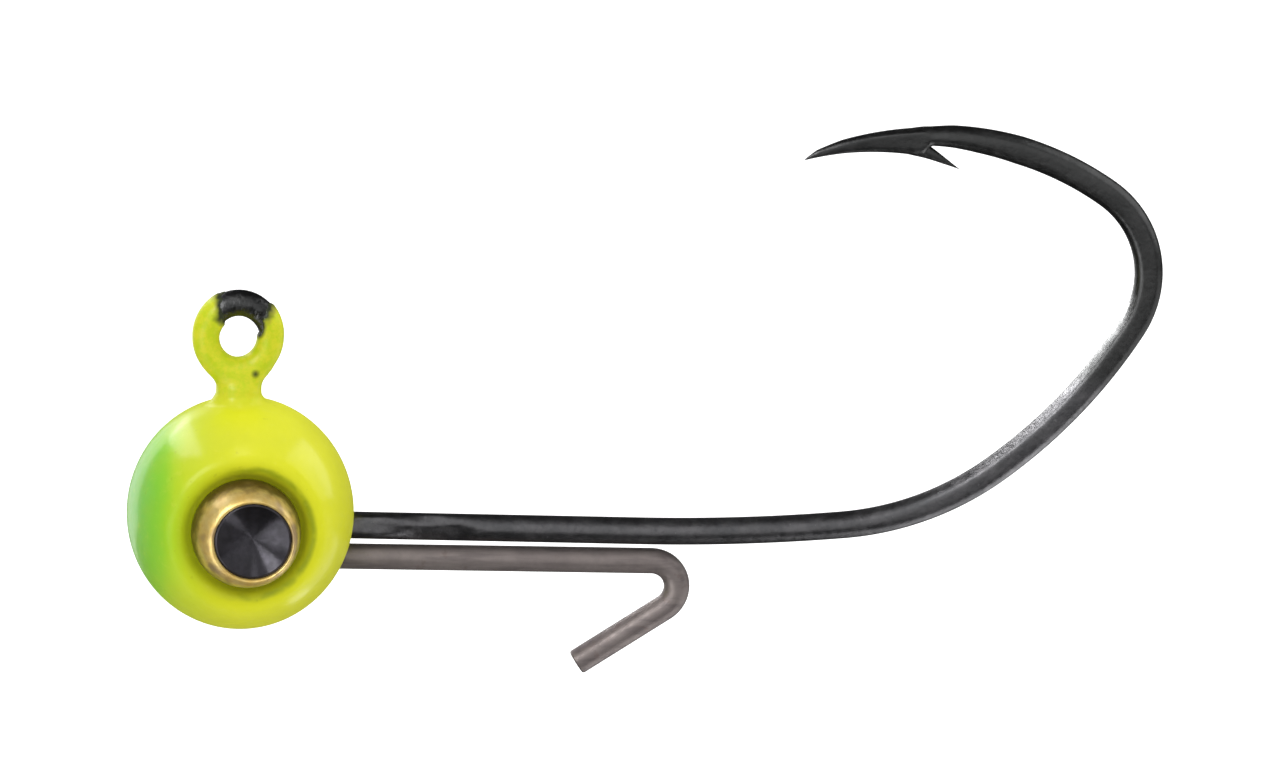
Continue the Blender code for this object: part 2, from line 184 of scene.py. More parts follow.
class Nodes:
    """Short calls for building one material's nodes."""

    def __init__(self, name):
        self.material = bpy.data.materials.new(name)
        self.material.use_nodes = True
        self.tree = self.material.node_tree
        self.shader = self.tree.nodes["Principled BSDF"]
        self.position = self.add("ShaderNodeTexCoord").outputs["Object"]

    def add(self, kind, **settings):
        node = self.tree.nodes.new(kind)
        for key, value in settings.items():
            setattr(node, key, value)
        return node

    def feed(self, socket, value):
        """Sets a socket's value, or links an output to it."""
        if isinstance(value, bpy.types.NodeSocket):
            self.tree.links.new(value, socket)
        else:
            socket.default_value = value

    def set(self, name, value):
        self.feed(self.shader.inputs[name], value)

    def math(self, operation, a, b=0.0, clamp=False):
        node = self.add("ShaderNodeMath", operation=operation, use_clamp=clamp)
        self.feed(node.inputs[0], a)
        self.feed(node.inputs[1], b)
        return node.outputs[0]

    def axis(self, index, source=None):
        node = self.add("ShaderNodeSeparateXYZ")
        self.feed(node.inputs[0], source or self.position)
        return node.outputs[index]

    def attribute(self, name):
        return self.add("ShaderNodeAttribute", attribute_name=name).outputs["Fac"]

    def span(self, value, low, high, to_low=0.0, to_high=1.0, smooth=True):
        """Maps value from low..high to to_low..to_high, clamped."""
        kind = "SMOOTHSTEP" if smooth else "LINEAR"
        node = self.add("ShaderNodeMapRange", interpolation_type=kind)
        for socket, number in zip(node.inputs, (value, low, high, to_low, to_high)):
            self.feed(socket, number)
        return node.outputs[0]

    def noise(self, per_mm, detail=3.0, roughness=0.5, stretch=(1, 1, 1), distortion=0.0):
        """Noise from 0 to 1 with a number of features per millimetre, squeezed by stretch."""
        scale = self.add("ShaderNodeVectorMath", operation="MULTIPLY")
        self.feed(scale.inputs[0], self.position)
        scale.inputs[1].default_value = [per_mm / MM * s for s in stretch]
        node = self.add("ShaderNodeTexNoise")
        self.feed(node.inputs["Vector"], scale.outputs[0])
        node.inputs["Scale"].default_value = 1.0
        node.inputs["Detail"].default_value = detail
        node.inputs["Roughness"].default_value = roughness
        node.inputs["Distortion"].default_value = distortion
        return node.outputs["Fac"]

    def mix(self, share, a, b, blend="MIX"):
        node = self.add("ShaderNodeMix", data_type="RGBA", blend_type=blend)
        self.feed(node.inputs["Factor"], share)
        self.feed(node.inputs["A"], a)
        self.feed(node.inputs["B"], b)
        return node.outputs["Result"]

    def ramp(self, value, stops):
        """A colour ramp from (place, colour) stops."""
        node = self.add("ShaderNodeValToRGB")
        self.feed(node.inputs[0], value)
        ramp = node.color_ramp
        while len(ramp.elements) < len(stops):
            ramp.elements.new(0.5)
        for element, (place, colour) in zip(ramp.elements, stops):
            element.position = place
            element.color = colour
        return node.outputs["Color"]

    def bump(self, height, distance_mm, strength=1.0, after=None):
        node = self.add("ShaderNodeBump")
        node.inputs["Strength"].default_value = strength
        node.inputs["Distance"].default_value = distance_mm * MM
        self.feed(node.inputs["Height"], height)
        if after is not None:
            self.feed(node.inputs["Normal"], after)
        return node.outputs[0]


def rgb(red, green, blue):
    """A linear colour from 0-255 screen values."""

    def linear(value):
        value /= 255
        return value / 12.92 if value <= 0.04045 else ((value + 0.055) / 1.055) ** 2.4

    return (linear(red), linear(green), linear(blue), 1.0)


def paint_material():
    """Chartreuse powder paint under clear gloss, with a green nose that fades backwards."""
    n = Nodes("chartreuse_paint")
    x = n.axis(0)
    drift = n.math("MULTIPLY", n.math("SUBTRACT", n.noise(0.5, 2.0), 0.5), 0.4 * MM)
    from_nose = n.math("SUBTRACT", n.math("ADD", x, drift), (BALL_X - BALL_RADIUS) * MM)
    along = n.span(from_nose, 0.0, BALL_RADIUS * MM, smooth=False)
    colour = n.ramp(
        along,
        (
            # The tip's paler, bluer green is painted reflection at the ball's rim; the green behind it
            # is the paint's own
            (0.05, rgb(126, 204, 92)),
            (0.20, rgb(136, 210, 50)),
            (0.28, rgb(152, 214, 40)),
            (0.36, rgb(182, 219, 34)),
            (0.46, rgb(200, 220, 32)),
            (0.70, rgb(216, 223, 32)),
            (0.95, rgb(226, 228, 34)),
        ),
    )
    # The neck and the line tie took less paint and look greener than the ball
    height = n.span(n.axis(2), -2.6 * MM, -1.5 * MM)
    mottle = n.span(n.noise(3.0, 4.0, 0.65), 0.35, 0.65)
    colour = n.mix(height, colour, n.mix(mottle, rgb(200, 217, 16), rgb(222, 222, 36)))
    # Painted shade in the socket's crease against the eye's foot, stronger towards the back than
    # towards the nose
    backwards = n.span(x, (BALL_X - 1.7) * MM, (BALL_X + 0.2) * MM, 0.22, 0.62)
    colour = n.mix(n.math("MULTIPLY", n.attribute("foot"), backwards), colour, rgb(128, 136, 16))
    # and painted shade in a broken dark green line on the socket's wall, round its back
    waver = n.math("MULTIPLY", n.math("SUBTRACT", n.noise(0.9, 2.0), 0.5), 0.30 * MM)
    wavy_radius = n.math("ADD", from_axis(n), waver)
    from_shade_line = n.math("ABSOLUTE", n.math("SUBTRACT", wavy_radius, 2.42 * MM))
    line = n.span(from_shade_line, 0.21 * MM, 0.0, 0.0, 0.60)
    line = n.math("MULTIPLY", line, n.span(x, (BALL_X - 1.6) * MM, (BALL_X + 0.8) * MM))
    line = n.math("MULTIPLY", line, n.span(n.noise(1.3, 2.0), 0.30, 0.55, 0.35, 1.0))
    colour = n.mix(line, colour, rgb(120, 146, 18))
    cloud = n.noise(1.1, 4.0, 0.6)
    colour = n.mix(n.span(cloud, 0.35, 0.75, 0.0, 0.14), colour, rgb(196, 205, 20))
    pale = n.noise(2.6, 3.0, 0.6)
    colour = n.mix(n.span(pale, 0.56, 0.80, 0.0, 0.16), colour, rgb(236, 238, 92))
    specks = n.span(n.noise(5.0, 1.0, 0.4), 0.735, 0.79, 0.0, 0.16)
    colour = n.mix(specks, colour, rgb(150, 152, 28))
    # Paint runs thin towards its chipped edge and shows the dark wire through it
    thin = n.attribute("thin")
    colour = n.mix(n.span(thin, 0.05, 0.95, smooth=False), colour, rgb(48, 54, 34))
    n.set("Base Color", colour)
    n.set("Roughness", n.span(n.noise(3.0, 3.0), 0.3, 0.7, 0.35, 0.45))
    n.set("Specular IOR Level", 0.1)
    # The gloss fades at grazing angles, where a cured powder coat scatters light instead
    facing = n.add("ShaderNodeLayerWeight")
    facing.inputs["Blend"].default_value = 0.5
    gloss = n.span(facing.outputs["Facing"], 0.50, 0.95, 1.0, 0.25)
    # Overspray dulls the rim of each eye's socket
    rim = n.span(from_axis(n), 2.6 * MM, 3.5 * MM, 0.04, 1.0)
    upper = n.span(n.axis(2), -3.4 * MM, -2.5 * MM, 1.0, 0.28)
    n.set("Coat Weight", n.math("MULTIPLY", gloss, n.math("MULTIPLY", rim, upper)))
    n.set("Coat Roughness", n.span(height, 0.0, 1.0, 0.19, 0.26))
    n.set("Sheen Weight", 0.12)
    n.set("Sheen Roughness", 0.5)
    n.set("Sheen Tint", rgb(236, 240, 150))
    n.set("Coat IOR", 1.5)
    orange_peel = n.bump(n.noise(1.6, 2.0, 0.5), 0.030)
    n.set("Normal", n.bump(n.noise(9.0, 2.0, 0.6), 0.003, after=orange_peel))
    return n.material


def hook_material():
    """Black nickel on drawn and forged wire, rippled along the shank by the ball."""
    n = Nodes("black_nickel")
    x, z = n.axis(0), n.axis(2)
    by_ball = n.span(x, 7.5 * MM, 11.0 * MM, 1.0, 0.0)
    by_ball = n.math("MULTIPLY", by_ball, n.span(z, -5.5 * MM, -6.3 * MM))
    tint = n.noise(1.2, 4.0, 0.6)
    colour = n.mix(n.span(tint, 0.3, 0.7), rgb(92, 92, 94), rgb(108, 107, 109))
    colour = n.mix(n.span(n.noise(4.5, 3.0, 0.6), 0.45, 0.75, 0.0, 0.45), colour, rgb(78, 78, 80))
    flecks = n.span(n.noise(6.0, 2.0, 0.5), 0.68, 0.78, 0.0, 0.35)
    colour = n.mix(flecks, colour, rgb(150, 150, 152))
    # The bare wire of the line tie is stained by the paint's edge
    colour = n.mix(n.span(z, -1.5 * MM, -0.5 * MM, 0.0, 0.75), colour, rgb(62, 63, 62))
    # The sharpened point is darker still
    point = n.math("MULTIPLY", n.span(x, 25.0 * MM, 20.5 * MM), n.span(z, 3.0 * MM, 4.0 * MM))
    colour = n.mix(n.math("MULTIPLY", point, 0.6), colour, rgb(60, 60, 61))
    n.set("Base Color", colour)
    n.set("Metallic", 1.0)
    n.set("Roughness", n.span(n.noise(2.5, 3.0), 0.3, 0.7, 0.32, 0.44))
    ripple = n.bump(n.noise(0.28, 1.0, 0.5, (1, 3.0, 3.0)), 0.95)
    n.feed(ripple.node.inputs["Strength"], n.span(by_ball, 0.0, 1.0, 0.04, 1.0))
    # Scuffs on the bare top of the line tie
    scuffs = n.bump(n.noise(2.6, 3.0, 0.6), 0.07, after=ripple)
    on_loop = n.math("MULTIPLY", n.span(z, -1.5 * MM, -0.8 * MM), n.span(x, 3.0 * MM, 2.0 * MM))
    n.feed(scuffs.node.inputs["Strength"], on_loop)
    n.set("Normal", n.bump(n.noise(5.0, 3.0, 0.6), 0.016, after=scuffs))
    return n.material


def keeper_material():
    """Plain grey drawn wire, dull, with a fine grain and brown stains."""
    n = Nodes("drawn_steel")
    tone = n.noise(1.0, 4.0, 0.6)
    colour = n.mix(n.span(tone, 0.3, 0.7), rgb(122, 113, 111), rgb(134, 125, 122))
    drawn = n.noise(3.2, 3.0, 0.6, (0.10, 1, 1))
    colour = n.mix(n.span(drawn, 0.50, 0.68, 0.0, 0.5), colour, rgb(96, 88, 88))
    stains = n.span(n.noise(1.8, 3.0, 0.6), 0.58, 0.70, 0.0, 0.35)
    colour = n.mix(stains, colour, rgb(104, 84, 78))
    n.set("Base Color", colour)
    n.set("Metallic", 0.5)
    grain = n.noise(7.0, 3.0, 0.6)
    n.set("Roughness", n.span(grain, 0.3, 0.7, 0.38, 0.52))
    n.set("Normal", n.bump(grain, 0.006))
    return n.material


def from_axis(n):
    """Distance in metres from the axis through both eyes."""
    offset = n.add("ShaderNodeVectorMath", operation="SUBTRACT")
    n.feed(offset.inputs[0], n.position)
    offset.inputs[1].default_value = BALL_CENTRE * MM
    x, z = n.axis(0, offset.outputs[0]), n.axis(2, offset.outputs[0])
    return n.math("SQRT", n.math("ADD", n.math("POWER", x, 2.0), n.math("POWER", z, 2.0)))


def brass_material():
    """Pressed brass, mottled, with painted shade in brown round its outer edge where it curves down to
    the paint.
    """
    n = Nodes("brass")
    # Painted shade and painted dark reflection: the dome's outer edge is brown and less metallic
    ragged_shade_edge = n.math("MULTIPLY", n.math("SUBTRACT", n.noise(2.2, 3.0), 0.5), 0.35 * MM)
    edge = n.span(n.math("ADD", from_axis(n), ragged_shade_edge), 1.72 * MM, 1.99 * MM)
    mottle = n.noise(1.6, 4.0, 0.65)
    colour = n.mix(n.span(mottle, 0.3, 0.7), rgb(240, 212, 128), rgb(220, 182, 88))
    patch = n.span(n.noise(0.8, 2.0), 0.52, 0.66, 0.0, 0.75)
    colour = n.mix(patch, colour, rgb(158, 134, 100))
    colour = n.mix(edge, colour, rgb(88, 58, 20))
    n.set("Base Color", colour)
    n.set("Metallic", n.span(edge, 0.0, 1.0, 0.6, 0.4))
    n.set("Roughness", n.span(mottle, 0.3, 0.7, 0.36, 0.52))
    n.set("Coat Weight", 0.9)
    n.set("Coat Roughness", 0.3)
    dents = n.bump(n.noise(1.5, 2.0, 0.5), 0.05)
    n.set("Normal", n.bump(n.noise(4.0, 3.0, 0.6), 0.014, after=dents))
    return n.material


def pupil_material():
    """Black enamel over a spun dish, whose fine rings draw each light out into a fan."""
    n = Nodes("black_enamel")
    tint = n.noise(3.0, 3.0)
    n.set("Base Color", n.mix(n.span(tint, 0.3, 0.7), rgb(70, 69, 73), rgb(80, 78, 84)))
    n.set("Metallic", 1.0)
    n.set("Roughness", n.span(n.noise(5.0, 2.0), 0.3, 0.7, 0.30, 0.36))
    n.set("Anisotropic", 1.0)
    n.set("Anisotropic Rotation", 0.25)
    n.set("Tangent", n.add("ShaderNodeTangent", direction_type="RADIAL", axis="Y").outputs[0])
    n.set("Normal", n.bump(n.noise(6.0, 2.0), 0.003))
    return n.material


def lead_material():
    """Dull cast lead."""
    n = Nodes("cast_lead")
    tone = n.noise(0.8, 5.0, 0.6)
    n.set("Base Color", n.mix(n.span(tone, 0.3, 0.7), rgb(118, 120, 124), rgb(150, 152, 156)))
    n.set("Metallic", 0.9)
    n.set("Roughness", n.span(tone, 0.3, 0.7, 0.55, 0.7))
    n.set("Normal", n.bump(n.noise(5.0, 4.0), 0.02))
    return n.material


# ---------------------------------------------------------------- mesh helpers

ON_AXIS = 0.01  # a smaller radius counts as lying on the axis


def mesh_object(name, vertices, faces, material, sharp=40):
    """A smooth-shaded object from points in millimetres."""
    mesh = bpy.data.meshes.new(name)
    mesh.from_pydata([tuple(v) for v in np.asarray(vertices, float) * MM], [], faces)
    bm = bmesh.new()
    bm.from_mesh(mesh)
    bmesh.ops.recalc_face_normals(bm, faces=bm.faces)
    bm.to_mesh(mesh)
    bm.free()
    mesh.shade_smooth()
    mesh.set_sharp_from_angle(angle=math.radians(sharp))
    if material is not None:
        mesh.materials.append(material)
    obj = bpy.data.objects.new(name, mesh)
    bpy.context.scene.collection.objects.link(obj)
    return obj


def place(obj, slot, *nodes):
    """Hangs a finished piece under the root body and hides the CAD nodes it stands for. slot is not
    used.
    """
    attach(obj, "root")
    if nodes:
        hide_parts(*nodes)


def apply_modifiers(obj):
    """Turns what an object's modifiers make into its own mesh."""
    evaluated = obj.evaluated_get(bpy.context.evaluated_depsgraph_get())
    made = bpy.data.meshes.new_from_object(evaluated)
    obj.modifiers.clear()
    old, obj.data = obj.data, made
    bpy.data.meshes.remove(old)


def tube_faces(rings, sides, closed=False):
    """Faces over rings of points numbered ring by ring, with flat ends unless closed."""
    faces = []
    for i in range(rings if closed else rings - 1):
        a, b = i * sides, (i + 1) % rings * sides
        faces += [(a + j, a + (j + 1) % sides, b + (j + 1) % sides, b + j) for j in range(sides)]
    if not closed:
        faces.append(tuple(range(sides))[::-1])
        faces.append(tuple(range((rings - 1) * sides, rings * sides)))
    return faces


def turned(name, profile, steps, facing, material, off_centre=lambda radius: 0.0):
    """Turns (radius, y) points round the axis through both eyes.

    A profile whose first point is on the axis is closed by its end caps, and any other joins up.
    """
    radii, heights = np.array(profile).T
    turns = np.arange(steps) * math.tau / steps
    points = []
    for r, y in zip(radii, heights):
        centre = BALL_X + off_centre(r)
        points += [(centre + r * math.cos(a), y * facing, BALL_Z + r * math.sin(a)) for a in turns]
    faces = tube_faces(len(radii), steps, closed=radii[0] > ON_AXIS)
    return mesh_object(name, points, faces, material)


class Path:
    """A line in the plane Y = 0 made of straights and arcs that meet without a corner."""

    def __init__(self, start, heading):
        self.pieces = []
        self.end = np.array(start, float)
        self.heading = heading
        self.length = 0.0
        self.marks = {}

    def mark(self, name):
        self.marks[name] = self.length

    def add(self, length, curvature=0.0):
        """Adds a piece. Positive curvature turns from +X towards +Z."""
        self.pieces.append((self.length, self.end, self.heading, curvature))
        self.end, self.heading = self.along(self.pieces[-1], length)
        self.length += length

    def arc(self, radius, angle):
        self.add(radius * abs(angle), math.copysign(1.0 / radius, angle))

    @staticmethod
    def along(piece, distance):
        _, start, heading, curvature = piece
        turned_to = heading + curvature * distance
        if curvature == 0.0:
            return start + np.array((math.cos(heading), math.sin(heading))) * distance, turned_to
        step = (math.sin(turned_to) - math.sin(heading), math.cos(heading) - math.cos(turned_to))
        return start + np.array(step) / curvature, turned_to

    def at(self, distance):
        piece = [p for p in self.pieces if p[0] <= max(0.0, distance) + 1e-9][-1]
        return self.along(piece, distance - piece[0])


def flattened(sines, round_half, flat_half):
    """Heights of points round a wire whose two sides are pressed flat at flat_half."""
    ratio = round_half / flat_half
    if ratio <= 1.001:
        return sines * flat_half
    limit = round_half / (ratio**FLAT_EDGE - 1) ** (1 / FLAT_EDGE)
    heights = sines * round_half
    return heights / (1 + np.abs(heights / limit) ** FLAT_EDGE) ** (1 / FLAT_EDGE)


def wire_points(path, stations, section, sides):
    """Rings of points round a wire, one for each station. section gives outer, inner and across."""
    points = []
    turns = np.arange(sides) * math.tau / sides
    for distance in stations:
        outer, inner, across = section(distance)
        centre, heading = path.at(distance)
        c = np.cos(turns)
        inwards = c * np.where(c > 0, inner, outer)
        x = centre[0] - math.sin(heading) * inwards
        z = centre[1] + math.cos(heading) * inwards
        points.append(np.stack((x, flattened(np.sin(turns), (outer + inner) / 2, across), z), 1))
    return np.concatenate(points)


# ---------------------------------------------------------------- hook


def loop_path(start, end):
    spread = (LOOP_SIDE_RADIUS - LOOP_HALF_WIDTH) / math.cos(LOOP_CORNER)
    end_radius = LOOP_SIDE_RADIUS - spread
    begin = np.array((math.cos(start), math.sin(start))) * end_radius
    begin[1] -= spread * math.sin(LOOP_CORNER)
    path = Path(begin, start + math.pi / 2)
    angle = start
    corners = (-LOOP_CORNER, LOOP_CORNER, math.pi - LOOP_CORNER, math.pi + LOOP_CORNER, end)
    for i, corner in enumerate(corners):
        upto = min(corner, end)
        if upto > angle:
            path.arc(LOOP_SIDE_RADIUS if i % 2 else end_radius, upto - angle)
            angle = upto
    return path


def hook_path():
    path = loop_path(LOOP_END, LOOP_NECK)
    path.mark("neck")
    turn = LOOP_NECK - math.pi
    path.arc(-path.end[0] / (1.0 - math.cos(turn)), -turn)
    path.mark("upright")
    path.add(path.end[1] - (SHANK_Z + BEND_IN_HEAD))
    path.arc(BEND_IN_HEAD, math.pi / 2)
    path.mark("shank")
    path.add(SHANK_STRAIGHT)
    for radius, degrees in GAP_BEND:
        path.arc(radius, math.radians(degrees))
    return path


def loop_wire(height):
    return LOOP_WIRE + (LOOP_WIRE_TOP - LOOP_WIRE) * np.maximum(0.0, height) / LOOP_HALF_WIDTH


def hook_stations(path):
    """Close together over the point and the barb, and wider along the rest."""
    near_tip = 9.0
    fine = path.length - np.arange(0.0, near_tip, 0.05)
    coarse = np.arange(0.0, path.length - near_tip, 0.14)
    return np.concatenate((coarse, fine[::-1]))


def hook_section(path):
    """A function of distance for the wire's section, smooth between the listed widths."""
    to_tip, outer, inner, across = np.array(POINT_SECTIONS).T
    fine = np.arange(0.0, to_tip[-1] + 0.5, 0.02)
    reach = 8
    kernel = np.hanning(2 * reach + 1)
    kernel /= kernel.sum()

    def eased(values):
        sampled = np.interp(fine, to_tip, values)
        padded = np.pad(sampled, reach, mode="edge")
        soft = np.convolve(padded, kernel, "valid")
        share = np.clip(fine / 0.3, 0.0, 1.0)
        return sampled * (1 - share) + soft * share

    outer, inner, across = eased(outer), eased(inner), eased(across)
    marks = path.marks
    rows = np.array(
        (
            (marks["neck"], LOOP_WIRE, LOOP_WIRE),
            (marks["upright"], WIRE, WIRE),
            (marks["shank"] + FORGING_FROM, WIRE, WIRE),
            (marks["shank"] + FORGING_TO, FORGED_WIDE, FORGED_THIN),
        )
    ).T

    def section(distance):
        left = path.length - distance
        if left < to_tip[-1]:
            return [np.interp(left, fine, v) for v in (outer, inner, across)]
        if distance < marks["neck"]:
            # The cut end's edge is eased over its first 0.08 mm
            cut = min(1.0, 0.8 + 0.2 * distance / 0.08)
            half = float(loop_wire(path.at(distance)[0][1])) * cut
            return half, half, half
        wide, thin = (np.interp(distance, rows[0], row) for row in rows[1:])
        return wide, wide, thin

    return section


def barb_points(path, rings, sides):
    """Rings of points round the barb's flap, each an oval squared a little by the exponent."""
    squared = 0.8
    points = []
    turns = np.arange(sides) * math.tau / sides
    to_tip, low, high, half = np.array(BARB_SECTIONS).T
    for left in np.linspace(to_tip[0], to_tip[-1], rings):
        centre, heading = path.at(path.length - left)
        bottom, top, wide = (np.interp(left, to_tip, row) for row in (low, high, half))
        c = np.sign(np.cos(turns)) * np.abs(np.cos(turns)) ** squared
        s = np.sign(np.sin(turns)) * np.abs(np.sin(turns)) ** squared
        inwards = (bottom + top) / 2 + c * (top - bottom) / 2
        x = centre[0] - math.sin(heading) * inwards
        z = centre[1] + math.cos(heading) * inwards
        points.append(np.stack((x, s * wide, z), 1))
    return np.concatenate(points)


def build_hook(material):
    path = hook_path()
    stations = hook_stations(path)
    sides = 48
    points = wire_points(path, stations, hook_section(path), sides)
    hook = mesh_object("hook_wire", points, tube_faces(len(stations), sides), material)
    rings, flap_sides = 40, 16
    flap_points = barb_points(path, rings, flap_sides)
    flap = mesh_object("barb_flap", flap_points, tube_faces(rings, flap_sides), None)
    join = hook.modifiers.new("flap", "BOOLEAN")
    join.operation = "UNION"
    join.solver = "EXACT"
    join.object = flap
    apply_modifiers(hook)
    bpy.data.objects.remove(flap)
    hook.data.set_sharp_from_angle(angle=math.radians(50))
    place(hook, "hook_wire", "hook")


# ---------------------------------------------------------------- bait keeper


def build_keeper(material):
    start_x = KEEPER_START_X - KEEPER_ANCHOR_RADIUS
    start_z = KEEPER_Z - KEEPER_ANCHOR_RADIUS - KEEPER_ANCHOR_LEG
    path = Path((start_x, start_z), math.pi / 2)
    path.add(KEEPER_ANCHOR_LEG)
    path.arc(KEEPER_ANCHOR_RADIUS, KEEPER_RISE - math.pi / 2)
    path.add(KEEPER_BEND_X - KEEPER_START_X)
    path.arc(KEEPER_BEND_RADIUS, -KEEPER_BEND)
    path.add(KEEPER_LEG)
    between = np.arange(0.15, path.length - 0.1, 0.12)
    last = (path.length - KEEPER_BEVEL, path.length)
    stations = np.concatenate(((0.0, KEEPER_BEVEL), between, last))

    def section(distance):
        edge = min(distance, path.length - distance)
        half = KEEPER - max(0.0, KEEPER_BEVEL - edge)
        return half, half, half

    sides = 40
    points = wire_points(path, stations, section, sides)
    keeper = mesh_object("keeper_wire", points, tube_faces(len(stations), sides), material)
    place(keeper, "keeper_wire", "bait_keeper_wire")


# ---------------------------------------------------------------- painted skin


def blend_min(a, b, reach):
    """The smaller of two distances, with a rounded join of that reach."""
    h = np.clip(0.5 + 0.5 * (b - a) / reach, 0.0, 1.0)
    return b * (1 - h) + a * h - reach * h * (1 - h)


def blend_max(a, b, reach):
    return -blend_min(-a, -b, reach)


def ball_distance(p):
    """Distance outside the painted ball with its two sockets."""
    x, y, z = (p - BALL_CENTRE).T
    across = np.hypot(x, z)
    share = np.clip((across - TALLER_FROM) / (BALL_RADIUS - TALLER_FROM), 0.0, 1.0)
    z = z / (1 + (BALL_TALLER - 1) * share)
    ball = np.sqrt(x**2 + y**2 + z**2) - BALL_RADIUS
    above_floor = np.abs(y) - SOCKET_FLOOR
    wall = (across - SOCKET_RADIUS) * math.sin(SOCKET_SLOPE) - above_floor * math.cos(SOCKET_SLOPE)
    socket = blend_max(wall, -above_floor, SOCKET_CREASE)
    return blend_max(ball, -socket, SOCKET_RIM)


def loop_distance(p):
    """Distance from the line tie's wire centreline, direction round the loop and distance outwards."""
    x, z = np.abs(p[:, 0]), np.abs(p[:, 2])
    side_x = LOOP_HALF_WIDTH - LOOP_SIDE_RADIUS
    spread = (LOOP_SIDE_RADIUS - LOOP_HALF_WIDTH) / math.cos(LOOP_CORNER)
    end_z = spread * math.sin(LOOP_CORNER)
    end_radius = LOOP_SIDE_RADIUS - spread
    from_side = np.hypot(x - side_x, z) - LOOP_SIDE_RADIUS
    from_end = np.hypot(x, z - end_z) - end_radius
    on_side = np.arctan2(z, x - side_x) < LOOP_CORNER
    flat = np.where(on_side, from_side, from_end)
    return np.hypot(flat, p[:, 1]), np.arctan2(p[:, 2], p[:, 0]), flat


def inner_share(flat):
    """How far a point of the loop lies towards the hole: 0 on the outside, 1 on the hole's side."""
    return np.clip(0.5 - flat / LOOP_COAT_FADE, 0.0, 1.0)


def ragged(p, per_mm, seed):
    """Noise from -1 to 1 at each point."""
    return np.array([noise.noise(Vector(q) * per_mm + Vector((seed, seed, seed))) for q in p])


def bareness(p):
    """How far inside the chipped patch on top of the line tie a point lies, in millimetres."""
    _, turn, flat = loop_distance(p)
    inner = inner_share(flat)
    right = np.radians(np.interp(inner, BARE_FROM_AT, BARE_FROM))
    left = np.radians(np.interp(inner, BARE_TO_AT, BARE_TO))
    inside = np.minimum(turn - right, left - turn) * LOOP_HALF_WIDTH
    inside += 0.13 * ragged(p, 2.2, 3.0) + 0.07 * ragged(p, 6.0, 9.0)
    chip = CHIP_EDGE * (CHIP_RADIUS - np.linalg.norm(p - CHIP, axis=1))
    return np.maximum(inside, chip)


def skin_distance(p, bare):
    """Distance outside the painted head: ball, neck and line tie run into each other."""
    ball = ball_distance(p)
    x, y, z = p[:, 0] - NECK_X, p[:, 1], p[:, 2]
    heights, half_x, half_y = np.array(NECK_SECTIONS).T
    half_x, half_y = np.interp(z, heights, half_x), np.interp(z, heights, half_y)
    neck = (np.sqrt((x / half_x) ** 2 + (y / half_y) ** 2) - 1) * np.minimum(half_x, half_y)
    neck = blend_max(neck, np.maximum(z - NECK_TOP, NECK_FOOT - z), NECK_EDGE)
    away, _, flat = loop_distance(p)
    coat = LOOP_COAT + (INNER_COAT - LOOP_COAT) * inner_share(flat)
    if bare is not None:
        # The skin dips under the wire's surface where the paint is missing
        coat = np.clip(coat - 0.5 * np.maximum(bare + 0.08, 0.0), -0.05, coat)
    loop = away - loop_wire(z) - coat
    upper = blend_min(neck, loop, NECK_TO_LOOP)
    return blend_min(ball, upper, NECK_TO_BALL)


def gradient(p, bare):
    """The skin distance's slope at each point, by central differences."""
    step = 1e-3
    columns = []
    for axis in range(3):
        move = np.zeros(3)
        move[axis] = step
        columns.append(skin_distance(p + move, bare) - skin_distance(p - move, bare))
    return np.stack(columns, 1) / (2 * step)


def settled(p, bare, rounds):
    """Points moved down the slope onto the skin."""
    for _ in range(rounds):
        slope = gradient(p, bare)
        steepness = np.maximum((slope**2).sum(1), 0.25)
        p = p - slope * (skin_distance(p, bare) / steepness)[:, None]
    return p


def skin_blank():
    """Closed shells that together have about the painted head's shape, for one remesh."""
    steps = 96
    run, rise = math.cos(SOCKET_SLOPE), math.sin(SOCKET_SLOPE)
    wall = [(SOCKET_RADIUS + t * run, SOCKET_FLOOR + t * rise) for t in (0.0, 0.45, 0.9)]
    turns = np.radians(np.arange(44, -1, -4))
    on_sphere = [(BALL_RADIUS * math.cos(a), BALL_RADIUS * math.sin(a)) for a in turns]
    upper = [(0.001, SOCKET_FLOOR), *wall, *on_sphere]
    profile = upper + [(r, -y) for r, y in upper[-2::-1]]
    ball = turned("blank_ball", profile, steps, 1, None)
    sides = 24
    neck_points = []
    for z in (-3.4, -1.0):
        for a in np.arange(sides) * math.tau / sides:
            neck_points.append((NECK_X + 0.82 * math.cos(a), 0.6 * math.sin(a), z))
    neck = mesh_object("blank_neck", neck_points, tube_faces(2, sides), None)
    path = loop_path(-math.pi / 2, 1.5 * math.pi)
    rings, sides = 48, 20
    stations = np.arange(rings) * path.length / rings
    ring_points = wire_points(path, stations, lambda distance: (0.46, 0.46, 0.46), sides)
    ring = mesh_object("blank_ring", ring_points, tube_faces(rings, sides, closed=True), None)
    bm = bmesh.new()
    for part in (ball, neck, ring):
        bm.from_mesh(part.data)
        bpy.data.objects.remove(part)
    mesh = bpy.data.meshes.new("paint_skin")
    bm.to_mesh(mesh)
    bm.free()
    return mesh


